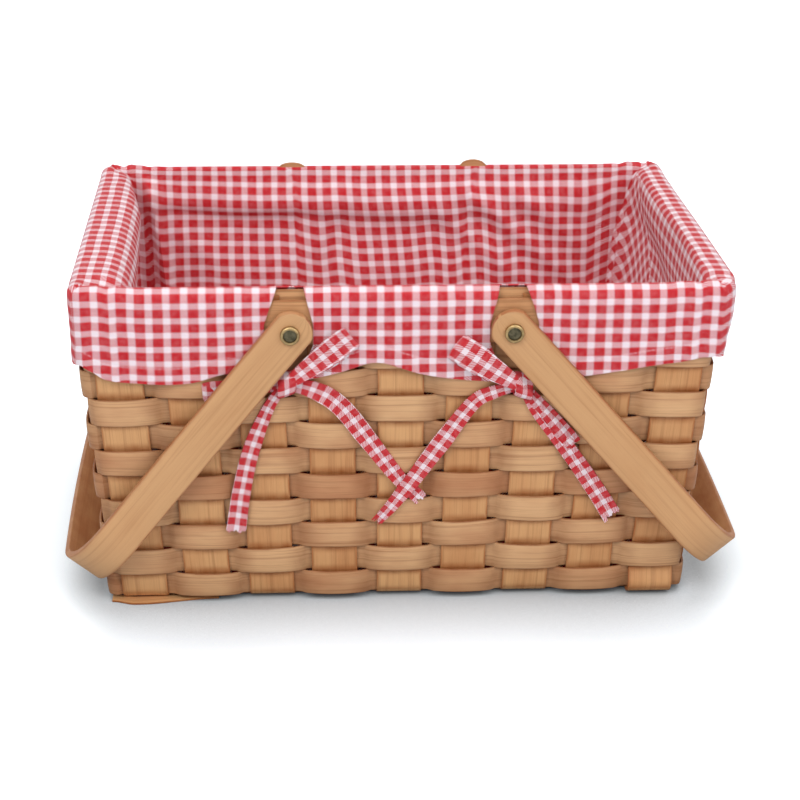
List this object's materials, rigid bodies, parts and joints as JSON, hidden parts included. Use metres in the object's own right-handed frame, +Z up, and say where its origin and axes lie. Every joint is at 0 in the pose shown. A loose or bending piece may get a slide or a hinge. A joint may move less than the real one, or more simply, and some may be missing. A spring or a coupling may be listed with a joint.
{
  "type": "picnic basket",
  "caption": "Rectangular picnic basket woven from split wood, with a checked cloth liner folded over the rim, tied bows and bentwood handles that swing on brass rivets.",
  "frame": {"origin": "on the table, under the middle of the box round the basket and its handles", "axes": "+Z up, +X along the long side, the front faces -Y"},
  "size_m": [0.4022, 0.2738, 0.1993],
  "materials": {
    "stake_wood": "bare split wood, satin",
    "weaver_wood": "bare split wood, satin",
    "rim_wood": "bare split wood, satin",
    "handle_wood": "sanded bentwood, light varnish",
    "brass": "antique brass, worn bright at the edges",
    "liner_cloth": "plain woven cotton check, matt",
    "tie_cloth": "plain woven cotton check, matt"
  },
  "bodies": {
    "basket": {"cross_stake_1": "stake_wood", "cross_stake_2": "stake_wood", "cross_stake_3": "stake_wood", "cross_stake_4": "stake_wood", "cross_stake_5": "stake_wood", "cross_stake_6": "stake_wood", "cross_stake_7": "stake_wood", "cross_stake_8": "stake_wood", "cross_stake_9": "stake_wood", "long_stake_1": "stake_wood", "long_stake_2": "stake_wood", "long_stake_3": "stake_wood", "long_stake_4": "stake_wood", "long_stake_5": "stake_wood", "long_stake_6": "stake_wood", "weaver_row_1": "weaver_wood", "weaver_row_2": "weaver_wood", "weaver_row_3": "weaver_wood", "weaver_row_4": "weaver_wood", "weaver_row_5": "weaver_wood", "weaver_row_6": "weaver_wood", "weaver_row_7": "weaver_wood", "weaver_row_8": "weaver_wood", "weaver_row_9": "weaver_wood", "weaver_row_10": "weaver_wood", "outer_rim_band": "rim_wood", "inner_rim_band": "rim_wood", "rivet_front_left": "brass", "rivet_front_right": "brass", "rivet_back_left": "brass", "rivet_back_right": "brass", "washer_front_left": "brass", "washer_front_right": "brass", "washer_back_left": "brass", "washer_back_right": "brass", "cloth_liner": "liner_cloth", "bow_front_left": "tie_cloth", "bow_front_right": "tie_cloth", "bow_back_left": "tie_cloth", "bow_back_right": "tie_cloth"},
    "handle_left": {"left_handle": "handle_wood"},
    "handle_right": {"right_handle": "handle_wood"}
  },
  "joints": [
    {"name": "left_handle_swing", "type": "hinge", "parent": "basket", "child": "handle_left", "pos_m": [-0.06623, 0, 0.175], "axis": [0, 1, 0], "range_deg": [-0.6, 154.4]},
    {"name": "right_handle_swing", "type": "hinge", "parent": "basket", "child": "handle_right", "pos_m": [0.06019, 0, 0.175], "axis": [0, -1, 0], "range_deg": [-3, 152]}
  ]
}
